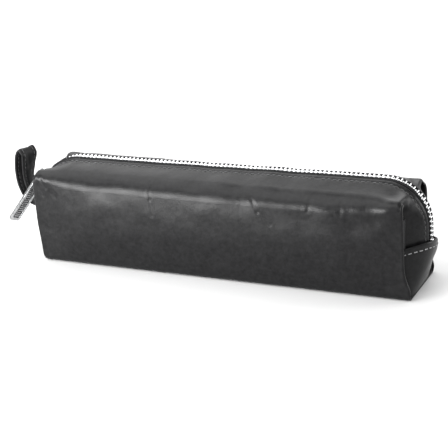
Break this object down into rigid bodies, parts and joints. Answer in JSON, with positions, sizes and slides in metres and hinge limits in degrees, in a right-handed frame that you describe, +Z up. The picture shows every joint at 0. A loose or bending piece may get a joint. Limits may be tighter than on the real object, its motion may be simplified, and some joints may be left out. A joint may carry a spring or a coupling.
{
  "type": "fountain pen case",
  "caption": "Soft black leather box pouch for fountain pens with a metal zip over the top and both ends, a bar pull and a hanging loop.",
  "frame": {"origin": "centre of the flat base, between the front and back walls and between the corner pleats", "axes": "+X along the case towards the end without the hanging loop, +Y from the front wall to the back wall, +Z up"},
  "size_m": [0.2502, 0.042, 0.0567],
  "materials": {
    "leather": "smooth semi-gloss black",
    "lining": "plain woven black",
    "zip_tape": "woven tape, black",
    "zip_metal": "polished nickel"
  },
  "bodies": {
    "case": {"body_panel": "leather", "left_front_end_flap": "leather", "left_back_end_flap": "leather", "right_front_end_flap": "leather", "right_back_end_flap": "leather", "left_end_piece": "leather", "right_end_piece": "leather", "body_lining": "lining", "left_end_lining": "lining", "right_end_lining": "lining", "left_front_end_tape": "zip_tape", "left_back_end_tape": "zip_tape", "right_front_end_tape": "zip_tape", "right_back_end_tape": "zip_tape", "left_front_end_teeth": "zip_metal", "left_back_end_teeth": "zip_metal", "right_front_end_teeth": "zip_metal", "right_back_end_teeth": "zip_metal", "front_top_stop": "zip_metal", "back_top_stop": "zip_metal", "bottom_stop": "zip_metal"},
    "front_lip": {"front_flap": "leather", "front_tape": "zip_tape", "front_flap_lining": "lining", "front_teeth": "zip_metal"},
    "back_lip": {"back_flap": "leather", "back_tape": "zip_tape", "back_flap_lining": "lining", "back_teeth": "zip_metal"},
    "slider": {"slider_body": "zip_metal", "slider_bridge": "zip_metal"},
    "pull": {"pull_tab": "zip_metal"},
    "loop": {"hanging_loop": "leather"}
  },
  "joints": [
    {"name": "slider_travel", "type": "hinge", "parent": "case", "child": "slider", "pos_m": [-0.0845, 0, 0.0281], "axis": [0, 1, 0], "range_deg": [0, 55]},
    {"name": "pull_swing", "type": "hinge", "parent": "slider", "child": "pull", "pos_m": [-0.11301, 0, 0.04263], "axis": [0, 1, 0], "range_deg": [0, 150]},
    {"name": "mouth_front", "type": "hinge", "parent": "case", "child": "front_lip", "pos_m": [0, -0.01402, 0.05272], "axis": [1, 0, 0], "range_deg": [0, 65]},
    {"name": "mouth_back", "type": "hinge", "parent": "case", "child": "back_lip", "pos_m": [0, 0.01402, 0.05272], "axis": [1, 0, 0], "range_deg": [-65, 0]},
    {"name": "loop_swing", "type": "hinge", "parent": "case", "child": "loop", "pos_m": [-0.117, 0.0067, 0.026], "axis": [0, -1, 0], "range_deg": [-5, 60], "stiffness_Nm_per_rad": 0.01}
  ],
  "couplings": [
    {"joint": "mouth_back", "follows": "mouth_front", "ratio": -1}
  ]
}
